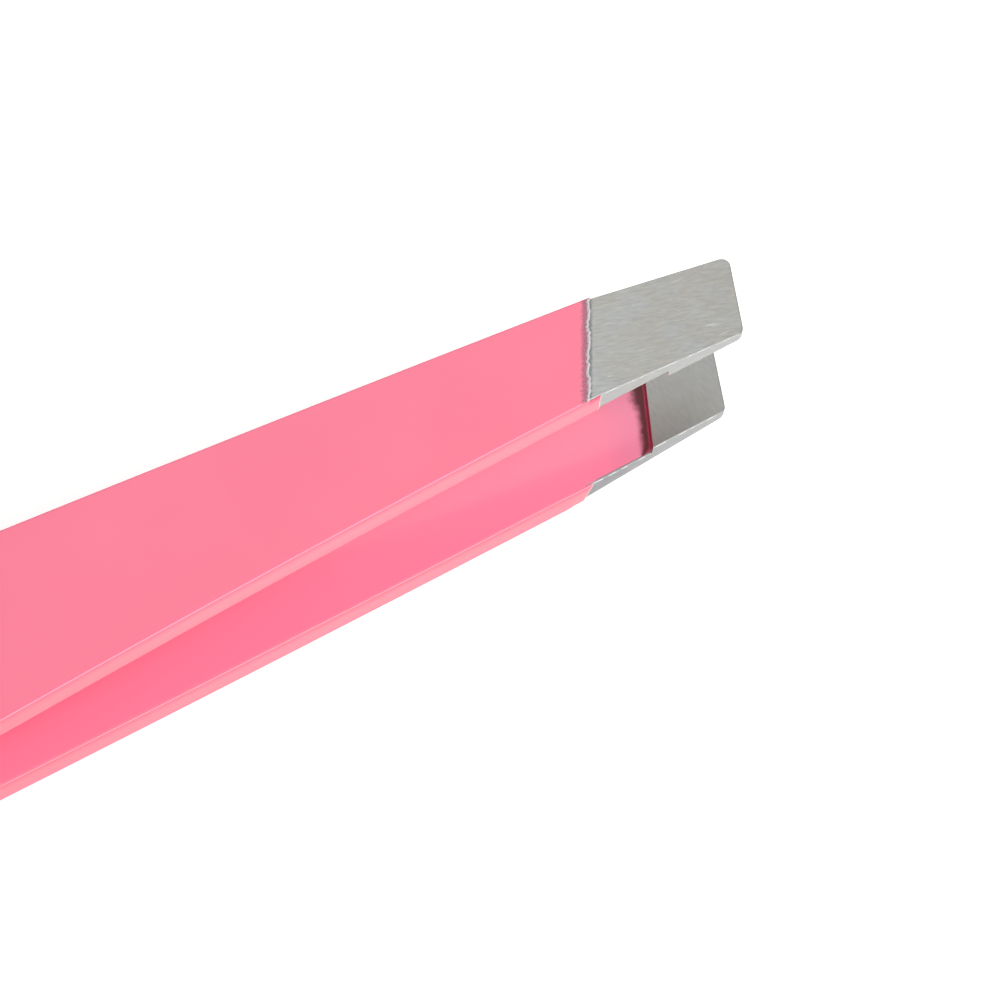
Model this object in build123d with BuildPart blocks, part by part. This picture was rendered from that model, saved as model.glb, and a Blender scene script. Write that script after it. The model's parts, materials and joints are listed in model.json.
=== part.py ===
"""Slant tweezers: two bowed steel strips welded at the tail, powder coated, with bare ground tips.

The row frame has +X towards the tips, +Z through the upper arm and Y across the strips. The plane
Z = 0 is where the arms meet when they are squeezed, and the origin is the centre of the bounding box.
The lower arm is the mirror image of the upper one, so each piece is drawn once, above Z = 0.
Each arm is divided along its length into a welded tail, a flexure that bends and a stiff front.
"""
import os
from math import acos, asin, atan2, cos, degrees, hypot, radians, sin, tan

from build123d import *

# Driving dimensions, in millimetres and degrees
overall_length = 95.0
steel = 1.2  # thickness of the strip
coat = 0.08  # thickness of the powder coat

# Side view: the inner face of the bare upper strip
tip_rise = 3.6  # inner face above the closing plane at the tip, arms relaxed
bow_radius = 900.0  # the arm is bowed outward along most of its length
root_radius = 40.0  # bend where the arms part
front_straight = 4.0  # last stretch, parallel to the closing plane

# Plan view of the bare strip
tip_half_width = 2.56  # just past the tip, where the flanks are cut off on the slant
shoulder_x = -16.0
shoulder_half_width = 6.23
flank_hollow = 0.175  # how far the long front flanks are hollow, at their middle
tail_half_width = 2.97
shoulder_radius = 110.0
tail_corner_radius = 2.4
corner_flare = 0.07  # the strip is this much wider on each side at the far corner
near_corner_radius = 0.8
far_corner_radius = 0.45

# Tip: a slanted end, a ground facet outside and a raised gripping pad inside
slant = 28.0
facet_x = 35.7  # where the facet starts, on the centre line
facet_slant = 35.0
facet_fall = 6.5
pad_x = 41.1  # where the pad starts, on the centre line
pad_slant = 31.0
pad_height = 0.38  # over the bare inner face

# Bending: a strip squeezed by the fingers turns about a third of the way from its root to them
finger_distance = 40.0
flexure_half_length = 10.0
closed_gap = 0.03  # left between the tips at the end of the travel

# Two spot welds hold the tails together
weld_places = ((-44.0, 0.0), (-40.0, 0.0))
weld_radius = 1.5
weld_depth = 0.35

# Places that follow from the dimensions
tail_x = -overall_length / 2 + coat
blank_end_x = overall_length / 2 + 1
far_corner_y = tip_half_width + corner_flare - far_corner_radius
far_corner_x = far_corner_y * tan(radians(slant)) + far_corner_radius * (1 - 1 / cos(radians(slant)))
tip_x = overall_length / 2 - far_corner_x  # the slanted end, on the centre line
slanted_end = (tip_x, slant)
bow_end_x = overall_length / 2 - front_straight
root_angle = degrees(acos(1 - tip_rise / (bow_radius + root_radius)))
root_x = bow_end_x - (bow_radius + root_radius) * sin(radians(root_angle))
pivot_x = root_x + finger_distance / 3
flexure_start = pivot_x - flexure_half_length
flexure_end = pivot_x + flexure_half_length
side_reach = 8.0  # beyond the widest place, for cutting tools


def inner_height(x):
    """Height of the upper strip's bare inner face, ahead of the root bend."""
    behind = max(bow_end_x - x, 0.0)
    return tip_rise - bow_radius + (bow_radius**2 - behind**2) ** 0.5


# The closing motion: each arm turns by closing_angle about a line across the middle of its flexure
pivot_z = inner_height(pivot_x) + steel / 2
edge_z = tip_rise - pad_height
reach = tip_x - pivot_x
turn_to_plane = asin(pivot_z / hypot(reach, edge_z - pivot_z)) + atan2(edge_z - pivot_z, reach)
closing_angle = degrees(turn_to_plane - closed_gap / reach)
# The pad leans so that the whole slanted edge reaches the closing plane together
pad_lean = degrees(tan(radians(slant)) * tan(turn_to_plane))


def strip(low, high):
    """Side view of the upper strip between two offsets from its bare inner face, as a slab."""
    with BuildSketch(Plane.XZ) as side_view:
        with BuildLine():
            for side in (low, high):
                bend_centre = (root_x, root_radius)
                bow_centre = (bow_end_x, tip_rise - bow_radius)
                Line((tail_x - 1, side), (root_x, side))
                CenterArc(bend_centre, root_radius - side, -90, root_angle)
                CenterArc(bow_centre, bow_radius + side, 90, root_angle)
                Line((bow_end_x, tip_rise + side), (blank_end_x, tip_rise + side))
            Line((tail_x - 1, low), (tail_x - 1, high))
            Line((blank_end_x, tip_rise + low), (blank_end_x, tip_rise + high))
        make_face()
    extrude(side_view.sketch, amount=side_reach, both=True)


def plan(grown, rear, front):
    """Plan view of the strip, grown by the coat and kept between two straight cuts.

    A cut is its place on the centre line and its slant in degrees.
    """
    flank_middle_x = (blank_end_x + shoulder_x) / 2
    flank_middle_y = (tip_half_width + shoulder_half_width) / 2 - flank_hollow
    with BuildLine() as half_outline:
        ThreePointArc(
            (blank_end_x, tip_half_width),
            (flank_middle_x, flank_middle_y),
            (shoulder_x, shoulder_half_width),
        )
        Line((shoulder_x, shoulder_half_width), (tail_x, tail_half_width))
        Line((tail_x, tail_half_width), (tail_x, 0))
        Line((tail_x, 0), (blank_end_x, 0))
        Line((blank_end_x, 0), (blank_end_x, tip_half_width))
    make_face(half_outline.line)
    mirror(about=Plane.XZ)
    fillet(vertices().group_by(Axis.X)[0], tail_corner_radius)
    fillet(vertices().filter_by(lambda corner: abs(corner.X - shoulder_x) < 0.01), shoulder_radius)
    if grown:
        offset(amount=grown)
    with BuildLine() as between_cuts:
        cuts = []
        for (place, angle), end in ((rear, -1), (rear, 1), (front, 1), (front, -1)):
            y = end * side_reach
            cuts.append((place + y * tan(radians(angle)), y))
        Polyline(*cuts, close=True)
    make_face(between_cuts.line, mode=Mode.INTERSECT)
    if front == slanted_end:
        near_corner = (tip_x - tip_half_width * tan(radians(slant)), -tip_half_width)
        fillet(vertices().sort_by(Axis.X)[-1], far_corner_radius)
        fillet(vertices().sort_by_distance(near_corner)[0], near_corner_radius)


def write(piece, name):
    """Label a finished piece and write it as one STEP file."""
    piece.part.label = name
    export_step(piece.part, f"parts/{name}.step")


behind_tail = (tail_x - 5, 0)
bend_start = (flexure_start, 0)
bend_end = (flexure_end, 0)
os.makedirs("parts", exist_ok=True)

# The steel of the upper arm, in three lengths
with BuildPart() as tail_strip_upper:
    strip(0, steel)
    with BuildSketch(Plane.XY):
        plan(0, behind_tail, bend_start)
    extrude(amount=side_reach, mode=Mode.INTERSECT)
    with BuildSketch(Plane.XY):
        with Locations(*weld_places):
            Circle(weld_radius)
    extrude(amount=weld_depth, mode=Mode.SUBTRACT)

with BuildPart() as flexure_upper:
    strip(0, steel)
    with BuildSketch(Plane.XY):
        plan(0, bend_start, bend_end)
    extrude(amount=side_reach, mode=Mode.INTERSECT)

with BuildPart() as arm_upper:
    strip(0, steel)
    with BuildSketch(Plane.XY):
        plan(0, bend_end, slanted_end)
    extrude(amount=side_reach, mode=Mode.INTERSECT)
    # The gripping pad stands proud of the inner face, ahead of a slanted step
    with BuildSketch(Plane.XY.offset(edge_z - 1)):
        plan(0, (pad_x, pad_slant), slanted_end)
    extrude(amount=1 + pad_height)
    pad_face = Plane((tip_x, 0, edge_z), x_dir=(1, 0, 0), z_dir=(0, -tan(radians(pad_lean)), 1))
    with BuildSketch(pad_face):
        Rectangle(18, 2 * side_reach)
    extrude(amount=-2, mode=Mode.SUBTRACT)
    # The outer face is ground down towards the tip
    facet_z = inner_height(facet_x) + steel
    facet_steepness = tan(radians(facet_fall))
    facet_normal = (cos(radians(facet_slant)), -sin(radians(facet_slant)), 1 / facet_steepness)
    facet = Plane((facet_x, 0, facet_z), x_dir=(0, 1, 0), z_dir=facet_normal)
    with BuildSketch(facet):
        Rectangle(3 * side_reach, 5 * side_reach)
    extrude(amount=4, mode=Mode.SUBTRACT)

# The powder coat of the upper arm: all round the flexure and the front, up to the ground tip
with BuildPart() as flexure_coat_upper:
    strip(-coat, steel + coat)
    with BuildSketch(Plane.XY):
        plan(coat, bend_start, bend_end)
    extrude(amount=side_reach, mode=Mode.INTERSECT)
    add(flexure_upper.part, mode=Mode.SUBTRACT)

with BuildPart() as inner_coat:
    strip(-coat, 0)
    with BuildSketch(Plane.XY):
        plan(0, bend_end, (pad_x, pad_slant))
    extrude(amount=side_reach, mode=Mode.INTERSECT)

with BuildPart() as arm_coat_upper:
    strip(-coat, steel + coat)
    with BuildSketch(Plane.XY):
        plan(coat, bend_end, (facet_x, facet_slant))
    extrude(amount=side_reach, mode=Mode.INTERSECT)
    add(arm_upper.part, mode=Mode.SUBTRACT)
    add(inner_coat.part)

# The coat of the tail is one skin round both strips
with BuildPart() as tail_strip_lower:
    mirror(tail_strip_upper.part, about=Plane.XY)

with BuildPart() as weld_spots:
    with BuildSketch(Plane.XY.offset(-weld_depth)):
        with Locations(*weld_places):
            Circle(weld_radius)
    extrude(amount=2 * weld_depth)

with BuildPart() as tail_coat:
    strip(-coat, steel + coat)
    with BuildSketch(Plane.XY):
        plan(coat, behind_tail, bend_start)
    extrude(amount=side_reach, mode=Mode.INTERSECT)
    mirror(about=Plane.XY)
    for inner_piece in (tail_strip_upper, tail_strip_lower, weld_spots):
        add(inner_piece.part, mode=Mode.SUBTRACT)

# The lower arm mirrors the upper one in the closing plane
with BuildPart() as flexure_lower:
    mirror(flexure_upper.part, about=Plane.XY)

with BuildPart() as arm_lower:
    mirror(arm_upper.part, about=Plane.XY)

with BuildPart() as flexure_coat_lower:
    mirror(flexure_coat_upper.part, about=Plane.XY)

with BuildPart() as arm_coat_lower:
    mirror(arm_coat_upper.part, about=Plane.XY)

write(tail_strip_upper, "tail_strip_upper")
write(tail_strip_lower, "tail_strip_lower")
write(weld_spots, "weld_spots")
write(tail_coat, "tail_coat")
write(flexure_upper, "flexure_upper")
write(flexure_lower, "flexure_lower")
write(flexure_coat_upper, "flexure_coat_upper")
write(flexure_coat_lower, "flexure_coat_lower")
write(arm_upper, "arm_upper")
write(arm_lower, "arm_lower")
write(arm_coat_upper, "arm_coat_upper")
write(arm_coat_lower, "arm_coat_lower")

print(f"pivot of the upper arm: x {pivot_x:.3f} z {pivot_z:.3f}, closes by {closing_angle:.3f} degrees")
print(f"flexure from {flexure_start:.3f} to {flexure_end:.3f}, root at {root_x:.3f}, tip at {tip_x:.3f}")
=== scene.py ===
# %% [markdown]
# # Slant tweezers
# The CAD model fixes every size and joint. This lesson dresses it: each arm of the real tool is one
# steel strip under a layer of powder coat, so each arm gets one strip and one coat, drawn as surfaces.
# Lengths in the formulas are in millimetres, and each mesh is scaled to metres when it is made.

# %% Load the frame
import json
from math import cos, radians, sin, tan

import bpy
import numpy as np
from mathutils import Matrix, Vector


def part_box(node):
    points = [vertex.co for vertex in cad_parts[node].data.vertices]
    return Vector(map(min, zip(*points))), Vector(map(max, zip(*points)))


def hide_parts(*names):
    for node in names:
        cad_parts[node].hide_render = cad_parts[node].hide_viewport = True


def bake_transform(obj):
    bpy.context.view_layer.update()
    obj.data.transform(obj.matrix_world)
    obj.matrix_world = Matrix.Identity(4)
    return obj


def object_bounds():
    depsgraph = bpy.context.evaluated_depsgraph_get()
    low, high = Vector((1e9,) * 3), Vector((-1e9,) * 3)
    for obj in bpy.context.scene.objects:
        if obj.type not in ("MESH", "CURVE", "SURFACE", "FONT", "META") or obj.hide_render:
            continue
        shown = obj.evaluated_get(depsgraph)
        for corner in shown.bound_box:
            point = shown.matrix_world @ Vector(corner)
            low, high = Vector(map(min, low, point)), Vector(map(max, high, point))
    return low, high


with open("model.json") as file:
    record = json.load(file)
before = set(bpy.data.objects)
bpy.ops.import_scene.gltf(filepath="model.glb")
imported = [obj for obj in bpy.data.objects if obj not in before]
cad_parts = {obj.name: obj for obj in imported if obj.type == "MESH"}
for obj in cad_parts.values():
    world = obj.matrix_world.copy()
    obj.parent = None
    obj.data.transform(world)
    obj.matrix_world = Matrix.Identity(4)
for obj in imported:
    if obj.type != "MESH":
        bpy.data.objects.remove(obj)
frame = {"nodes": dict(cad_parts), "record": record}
cad_box = [list(corner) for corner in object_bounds()]
MM = 0.001
joints = {joint["name"]: joint for joint in frame["record"]["behaviour"]["joints"]}
print("CAD box in mm:", [[round(value / MM, 2) for value in corner] for corner in cad_box])

# %% [markdown]
# ## The strip's side view
# A stamped strip is flat at the tail, where it is welded, bends away at the root and then bows along
# a large circle to the tip. Concentric arcs give every layer of the strip (inner face, outer face,
# coat) from one function, which a spline or a bent plane would only approximate.

# %% Heights of the strip's faces
STEEL = 1.2
COAT = 0.08
TIP_RISE = 3.6
BOW_RADIUS = 900.0
ROOT_RADIUS = 40.0
FRONT_STRAIGHT = 4.0

length = (cad_box[1][0] - cad_box[0][0]) / MM
tail_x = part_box("tail_strip_upper")[0].x / MM
bow_end_x = length / 2 - FRONT_STRAIGHT
root_angle = np.arccos(1 - TIP_RISE / (BOW_RADIUS + ROOT_RADIUS))
root_x = bow_end_x - (BOW_RADIUS + ROOT_RADIUS) * np.sin(root_angle)


def face_height(x, offset):
    """Height of the layer that lies offset above the bare inner face: flat, root arc, bow arc, flat.

    Each arc is centre height plus or minus the square root of radius squared minus distance squared.
    """
    root_reach = (ROOT_RADIUS - offset) * np.sin(root_angle)
    after_root = np.clip(x - root_x, 0, root_reach)
    root = ROOT_RADIUS - np.sqrt((ROOT_RADIUS - offset) ** 2 - after_root**2)
    before_end = np.clip(bow_end_x - x, 0, None)
    bow = TIP_RISE - BOW_RADIUS + np.sqrt((BOW_RADIUS + offset) ** 2 - before_end**2)
    return np.where(x < root_x + root_reach, root, bow)


heights = face_height(np.array([root_x, 0, length / 2]), 0)
print("inner face height at root, middle and tip:", heights.round(3))

# %% [markdown]
# ## The strip's plan view
# Seen from above the strip widens from the tail to the shoulder and narrows towards the slanted tip.
# Its half-width is the running sum of a slope that changes in straight pieces, so the two flanks meet
# in a smooth curve. Points then lie on stations: lines across the strip that stand square at the tail
# and lean more and more until they run along the ground facet, the pad's step and the slanted end.
# A spline through a few widths could draw the flanks too, but it would wave where they are straight.

# %% Half-width along the strip
TAIL_HALF_WIDTH = 2.97
TABLE_END_X, TABLE_POINTS = 48.5, 800
FLANK_SLOPES = ((tail_x, 0.1038), (-25.34, 0.1038), (-6.83, -0.0646), (TABLE_END_X, -0.0460))
width_table_x = np.linspace(tail_x, TABLE_END_X, TABLE_POINTS)
slopes = np.interp(width_table_x, *np.transpose(FLANK_SLOPES))
steps = np.diff(width_table_x) * (slopes[1:] + slopes[:-1]) / 2
width_table = TAIL_HALF_WIDTH + np.concatenate([[0], np.cumsum(steps)])


def half_width(x):
    """Half the bare strip's width at x."""
    return np.interp(x, width_table_x, width_table)


print("widest place:", round(float(width_table.max()) * 2, 2), "mm")

# %% Slants of the tip
SLANT = 28.0
FACET_X, FACET_SLANT, FACET_FALL = 35.7, 35.0, 6.5
PAD_X, PAD_SLANT, PAD_HEIGHT = 41.1, 31.0, 0.38
SQUARE_UNTIL_X = 18.0
TAIL_CORNER, NEAR_CORNER, FAR_CORNER = 2.4, 0.8, 0.45
FAR_CORNER_X = 47.3
BOX_MARGIN = 0.01  # the drawn surfaces stay this far inside the CAD model's box

far_corner_y = half_width(FAR_CORNER_X) - FAR_CORNER
tip_x = length / 2 - far_corner_y * tan(radians(SLANT)) - FAR_CORNER * (1 - 1 / cos(radians(SLANT)))
tip_x -= BOX_MARGIN


def lean(x):
    """Slope of the station through x on the centre line: sideways shift in x for each mm of y."""
    places = (SQUARE_UNTIL_X, FACET_X, PAD_X, tip_x)
    return np.interp(x, places, [tan(radians(angle)) for angle in (0, FACET_SLANT, PAD_SLANT, SLANT)])


print("slanted end crosses the centre line at", round(tip_x, 2), "mm")

# %% [markdown]
# ## Grid of the plan
# The plan is a grid: one row per station, one column per place across. Around the rounded corners of
# the tail and the tip the two edge lines follow arcs, and the rows between them turn with them. The
# same rows serve every layer, because growing the plan only moves its two edge lines outward. Rows lie
# close together only where the shape changes quickly: at the welds, the facet and the pad's step.

# %% Rows of the plan grid
COLUMNS = 81
CORNER_STEPS = 9
WELDS_END_X, FLANK_END_X, APPROACH_X = -37.0, 33.6, 34.0
FLANK_STEP, APPROACH_STEP, CLOSE_STEP = 0.9, 0.3, 0.25
FACET_ROW_STEP, FACET_ROWS = 0.06, (-14, 16)
PAD_ROW_STEP, PAD_ROWS = 0.03, (-8, 9)
AFTER_TAIL_ARC, BEFORE_TIP = 0.3, 0.95
BEFORE_FACET_ROWS, AFTER_FACET_ROWS = 1.0, 1.15
BEFORE_PAD_ROWS, AFTER_PAD_ROWS = 0.4, 0.45

station_parts = [
    np.arange(tail_x + TAIL_CORNER + AFTER_TAIL_ARC, WELDS_END_X, CLOSE_STEP),
    np.arange(WELDS_END_X, FLANK_END_X, FLANK_STEP),
    np.arange(APPROACH_X, FACET_X - BEFORE_FACET_ROWS, APPROACH_STEP),
    FACET_X + FACET_ROW_STEP * np.arange(*FACET_ROWS),
    np.arange(FACET_X + AFTER_FACET_ROWS, PAD_X - BEFORE_PAD_ROWS, CLOSE_STEP),
    PAD_X + PAD_ROW_STEP * np.arange(*PAD_ROWS),
    np.arange(PAD_X + AFTER_PAD_ROWS, tip_x - BEFORE_TIP, CLOSE_STEP),
]
stations = np.concatenate(station_parts)
rows = len(stations) + 2 * CORNER_STEPS
facet_row = CORNER_STEPS + int(np.argmin(abs(stations - FACET_X)))
pad_row = CORNER_STEPS + int(np.argmin(abs(stations - PAD_X)))
print("rows", rows, "columns", COLUMNS, "facet row", facet_row, "pad row", pad_row)


# %% Rounded corner of the tip
def unit(vector):
    """The vector over its length."""
    return np.array(vector, float) / np.linalg.norm(vector)


def tip_corner(side, radius, grown):
    """Points of the rounded corner between a flank and the slanted end.

    The centre lies radius inside both lines, which are two linear equations. The points are that
    centre plus the grown radius times directions that turn from the flank's normal to the end's.
    """
    corner_x = tip_x + side * half_width(tip_x) * tan(radians(SLANT))
    flank_slope = half_width(corner_x + 0.5) - half_width(corner_x - 0.5)  # over one millimetre
    flank_in = unit((flank_slope, -side))
    end_in = unit((-1, tan(radians(SLANT))))
    on_flank = np.array([corner_x, side * half_width(corner_x)])
    on_end = np.array([tip_x, 0.0])
    inside_flank, inside_end = on_flank @ flank_in + radius, on_end @ end_in + radius
    centre = np.linalg.solve([flank_in, end_in], [inside_flank, inside_end])
    start = np.arctan2(-flank_in[1], -flank_in[0])
    turn = np.arctan2(-end_in[1], -end_in[0]) - start
    turn = (turn + np.pi) % (2 * np.pi) - np.pi
    angles = start + turn * np.linspace(0, 1, CORNER_STEPS)
    return centre + (radius + grown) * np.stack([np.cos(angles), np.sin(angles)], 1)


# %% Edge lines and plan points
EDGE_ROUNDS = 5


def edge_line(side, grown):
    """One edge of the grown plan, row by row: tail corner, flank, tip corner.

    A flank point lies on its leaning station and on the flank at once. Each round takes x from the
    last y and y from that x, which settles after a few rounds.
    """
    angles = np.linspace(0, np.pi / 2, CORNER_STEPS)
    centre_y = half_width(tail_x + TAIL_CORNER) - TAIL_CORNER
    reach = TAIL_CORNER + grown
    tail_arc_x = tail_x + TAIL_CORNER - reach * np.cos(angles)
    tail = np.stack([tail_arc_x, side * (centre_y + reach * np.sin(angles))], 1)
    y = side * half_width(stations)
    for _ in range(EDGE_ROUNDS):
        x = stations + lean(stations) * y
        y = side * (half_width(x) + grown)
    flank = np.stack([x, y], 1)
    tip = tip_corner(side, NEAR_CORNER if side < 0 else FAR_CORNER, grown)
    return np.concatenate([tail, flank, tip])


def plan_grid(grown):
    """Plan points of shape (rows, columns, 2): each row is spaced evenly between the two edge lines."""
    across = np.linspace(0, 1, COLUMNS)[None, :, None]
    near, far = edge_line(-1, grown)[:, None], edge_line(1, grown)[:, None]
    return near + (far - near) * across


def rim(grid):
    """Outline of a grid as one closed loop, anticlockwise seen from above."""
    return np.concatenate([grid[:-1, 0], grid[-1, :-1], grid[:0:-1, -1], grid[0, :0:-1]])


outline = rim(plan_grid(0))
print("outline spans", outline.min(0).round(2), "to", outline.max(0).round(2))

# %% [markdown]
# ## A plate with rounded edges
# A stamped strip is a plate: an outer face, an inner face and a narrow wall round the outline. The wall
# is a stack of rings, and the top and bottom rings follow a quarter circle, so every edge has the small
# radius that catches the light. A Bevel modifier could round a sharp plate, but its width would be
# limited by the finest row, while rings keep one radius everywhere.

# %% Plate vertices
ARC_STEPS = 4
WALL_STEPS = 3
quarter = np.linspace(0, np.pi / 2, ARC_STEPS)
wall_share = np.linspace(0, 1, WALL_STEPS + 1)[1:-1]
RINGS = 2 * ARC_STEPS + len(wall_share)  # counted from the outer face's rim to the inner face's


def plate_points(grown, radius, top, bottom):
    """All vertices of a plate: outer face, inner face, then the wall's inner rings.

    A ring of the rounded edge stands in from the outline by radius (1 - sin a) and down from the face
    by radius (1 - cos a), where a runs from 0 to 90 degrees. Between the arcs the wall is straight.
    """
    cap = plan_grid(grown - radius)
    outer = np.concatenate([cap, top(cap)[..., None]], 2)
    inner = np.concatenate([cap, bottom(cap)[..., None]], 2)
    upper_arc, lower_arc = [], []
    for angle in quarter[1:]:
        plan = rim(plan_grid(grown - radius * (1 - np.sin(angle))))
        drop = radius * (1 - np.cos(angle))
        upper_arc.append((plan, top(plan) - drop))
        lower_arc.append((plan, bottom(plan) + drop))
    plan, wall_top = upper_arc[-1]
    wall_bottom = lower_arc[-1][1]
    straight = [(plan, wall_top * (1 - share) + wall_bottom * share) for share in wall_share]
    rings = upper_arc + straight + lower_arc[::-1]
    wall = [np.concatenate([plan, height[:, None]], 1) for plan, height in rings]
    return np.concatenate([outer.reshape(-1, 3), inner.reshape(-1, 3), *wall])


print("rings from face to face:", RINGS)


# %% Plate faces
def plate_faces():
    """Quads of a plate, the row each one starts from, and its part: 0 outer, 1 inner, 2 and up wall."""
    count = rows * COLUMNS
    index = np.arange(count).reshape(rows, COLUMNS)
    a, b, c, d = index[:-1, :-1], index[1:, :-1], index[1:, 1:], index[:-1, 1:]
    outer = np.stack([a, b, c, d], 2).reshape(-1, 4)
    cap_row = np.broadcast_to(np.arange(rows - 1)[:, None], a.shape).reshape(-1)
    inner = outer[:, ::-1] + count
    loop = rim(index)
    size = len(loop)
    rings = [loop] + [2 * count + size * k + np.arange(size) for k in range(RINGS - 2)] + [loop + count]
    loop_row = rim(np.broadcast_to(np.arange(rows)[:, None], index.shape))
    wall_row = np.maximum(loop_row, np.roll(loop_row, -1))
    quads, row = [outer, inner], [cap_row, cap_row]
    part = [np.zeros(len(outer), int), np.ones(len(outer), int)]
    for k, (upper, under) in enumerate(zip(rings[:-1], rings[1:])):
        quads.append(np.stack([under, np.roll(under, -1), np.roll(upper, -1), upper], 1))
        row.append(wall_row)
        part.append(np.full(size, 2 + k))
    return np.concatenate(quads), np.concatenate(row), np.concatenate(part)


quads, quad_row, quad_part = plate_faces()
print("plate has", len(quads), "quads and", quads.max() + 1, "vertices")

# %% [markdown]
# ## Faces of the bare strip
# The tip is finished on a grinding wheel. Outside, a flat facet is ground down towards the slanted end.
# Inside, the wheel relieves the strip behind the pad, which leaves the gripping pad standing proud. The
# electrodes of the spot welder leave two shallow dents on the tail. All are heights over the plan: the
# outer face is the lower of strip and facet, and the inner face drops by the pad's height across a
# narrow step. A height needs no cutting, so the grid stays closed and its rows lie on every line.

# %% Outer and inner heights
closing = radians(joints["upper_arm_flex"]["range_deg"][1])
PAD_STEP_WIDTH = 0.07
WELD_X = (-44.0, -40.0)
DENT_RADIUS, DENT_DEPTH = 1.3, 0.05
pad_lean = tan(radians(SLANT)) * tan(closing)


def ramp(value):
    """Smooth step from 0 to 1: 3 v squared minus 2 v cubed."""
    value = np.clip(value, 0, 1)
    return value * value * (3 - 2 * value)


def ahead_of(points, x, angle):
    """Distance in x past a slanted line across the strip."""
    return points[..., 0] - x - points[..., 1] * tan(radians(angle))


def weld_dent(points):
    """Depth of two round dents: the full depth times (1 - r squared) squared.

    Here r is the distance from the dent's middle as a share of its radius.
    """
    dent = 0
    for weld_x in WELD_X:
        share = np.hypot(points[..., 0] - weld_x, points[..., 1]) / DENT_RADIUS
        dent = dent + DENT_DEPTH * np.clip(1 - share**2, 0, 1) ** 2
    return dent


def facet_height(points):
    """The ground facet: the strip's height on its first line, less its fall from there.

    The fall is tan(angle of the fall) times the distance square to that line.
    """
    ahead = ahead_of(points, FACET_X, FACET_SLANT)
    line_z = face_height(points[..., 0] - ahead, STEEL)
    return line_z - tan(radians(FACET_FALL)) * ahead * cos(radians(FACET_SLANT))


def strip_top(points):
    """Outer face of the bare strip: the bowed face, then the facet."""
    bowed = face_height(points[..., 0], STEEL) - weld_dent(points)
    return np.where(ahead_of(points, FACET_X, FACET_SLANT) > 0, facet_height(points), bowed)


def strip_bottom(points):
    """Inner face of the bare strip, with the pad ahead of its step."""
    step = ramp(0.5 + ahead_of(points, PAD_X, PAD_SLANT) / PAD_STEP_WIDTH)
    bare = face_height(points[..., 0], 0)
    pad = TIP_RISE - PAD_HEIGHT + pad_lean * points[..., 1]
    return bare + (pad - bare) * step


STEEL_EDGE = 0.09
strip_points = plate_points(0, STEEL_EDGE, strip_top, strip_bottom)
at_tip = np.array([tip_x, 0])
print("tip thickness", round(float(strip_top(at_tip) - strip_bottom(at_tip)), 3), "mm")

# %% [markdown]
# ## The powder coat
# Powder coat is one even layer over steel and edges. It is modelled as its own closed shell, not as a
# colour on the strip, because the broken edge where the wheel stopped has a real thickness. The shell
# is the plate grown by the coat, cut off where the steel is bare, with an inner skin just over the
# steel and a rim that joins the two. On the outer face its end is ragged, with one deeper notch.

# %% Ragged edge of the coat
RAGGED_HALF_WIDTH, RAGGED_POINTS = 3.4, 69
CHIP_SIZE, CHIP_BLUR, SPARE_DRAWS = 0.085, (0.2, 0.6, 0.2), 6
WAVE_SIZE, WAVE_TURN = 0.03, 2.1
NOTCH_Y, NOTCH_DEPTH, NOTCH_WIDTH = 1.35, 0.17, 0.32
RAGGED_REACH = 0.7

chip_noise = np.random.default_rng(7)
chips = chip_noise.normal(0, CHIP_SIZE, RAGGED_POINTS + SPARE_DRAWS)
across_mm = np.linspace(-RAGGED_HALF_WIDTH, RAGGED_HALF_WIDTH, RAGGED_POINTS)
ragged = np.convolve(chips, CHIP_BLUR, "valid")[:RAGGED_POINTS]
ragged += WAVE_SIZE * np.sin(across_mm * WAVE_TURN)
ragged -= NOTCH_DEPTH * np.exp(-(((across_mm - NOTCH_Y) / NOTCH_WIDTH) ** 2))


def coat_shift(points):
    """How far the ragged edge moves a point of the outer face, fading out away from the facet line."""
    near_line = 1 - ramp(abs(ahead_of(points, FACET_X, FACET_SLANT)) / RAGGED_REACH)
    return np.interp(points[..., 1], across_mm, ragged) * near_line


print("ragged edge runs from", ragged.min().round(2), "to", ragged.max().round(2), "mm")

# %% Outer and inner sides of the coat
COAT_EDGE = 0.11
SKIN = 0.006
SKIN_LIFT = SKIN * 0.3  # how far the inner skin stands off the steel
FEATHER, FEATHER_START = 0.16, 0.25
FORK_FILM = 0.002  # the shell keeps this thickness in the fork, where there is no room for a coat


def coat_top(points):
    """Outer height of the coat, thinning to a feather at the ragged edge."""
    behind = -ahead_of(points, FACET_X, FACET_SLANT)
    thickness = SKIN + (COAT - SKIN) * ramp(FEATHER_START + behind / FEATHER)
    return face_height(points[..., 0], STEEL) - weld_dent(points) + thickness


def coat_bottom(points):
    """Inner height of the coat. In the fork, where two coats meet, it stops at the middle."""
    return np.maximum(face_height(points[..., 0], 0) - COAT, 0)


def skin_top(points):
    """The side of the outer coat that lies on the steel."""
    return face_height(points[..., 0], STEEL) - weld_dent(points) + SKIN_LIFT


def skin_bottom(points):
    """The side of the inner coat that lies on the steel."""
    return np.maximum(face_height(points[..., 0], 0) - SKIN_LIFT, FORK_FILM)


coat_outside = plate_points(COAT - BOX_MARGIN, COAT_EDGE, coat_top, coat_bottom)
coat_inside = plate_points(SKIN_LIFT, STEEL_EDGE, skin_top, skin_bottom)
print("coat has", len(coat_outside), "vertices on each skin")

# %% [markdown]
# ## Which surface a point belongs to
# Every plate has the same grid, so a point's place in the list says where it is. The rounded edge
# belongs to the face it leads to, except on the near side, where its inner half counts as side wall:
# there the coat's end slants across wall and edge together, and a cut between them would open a hole.

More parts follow.
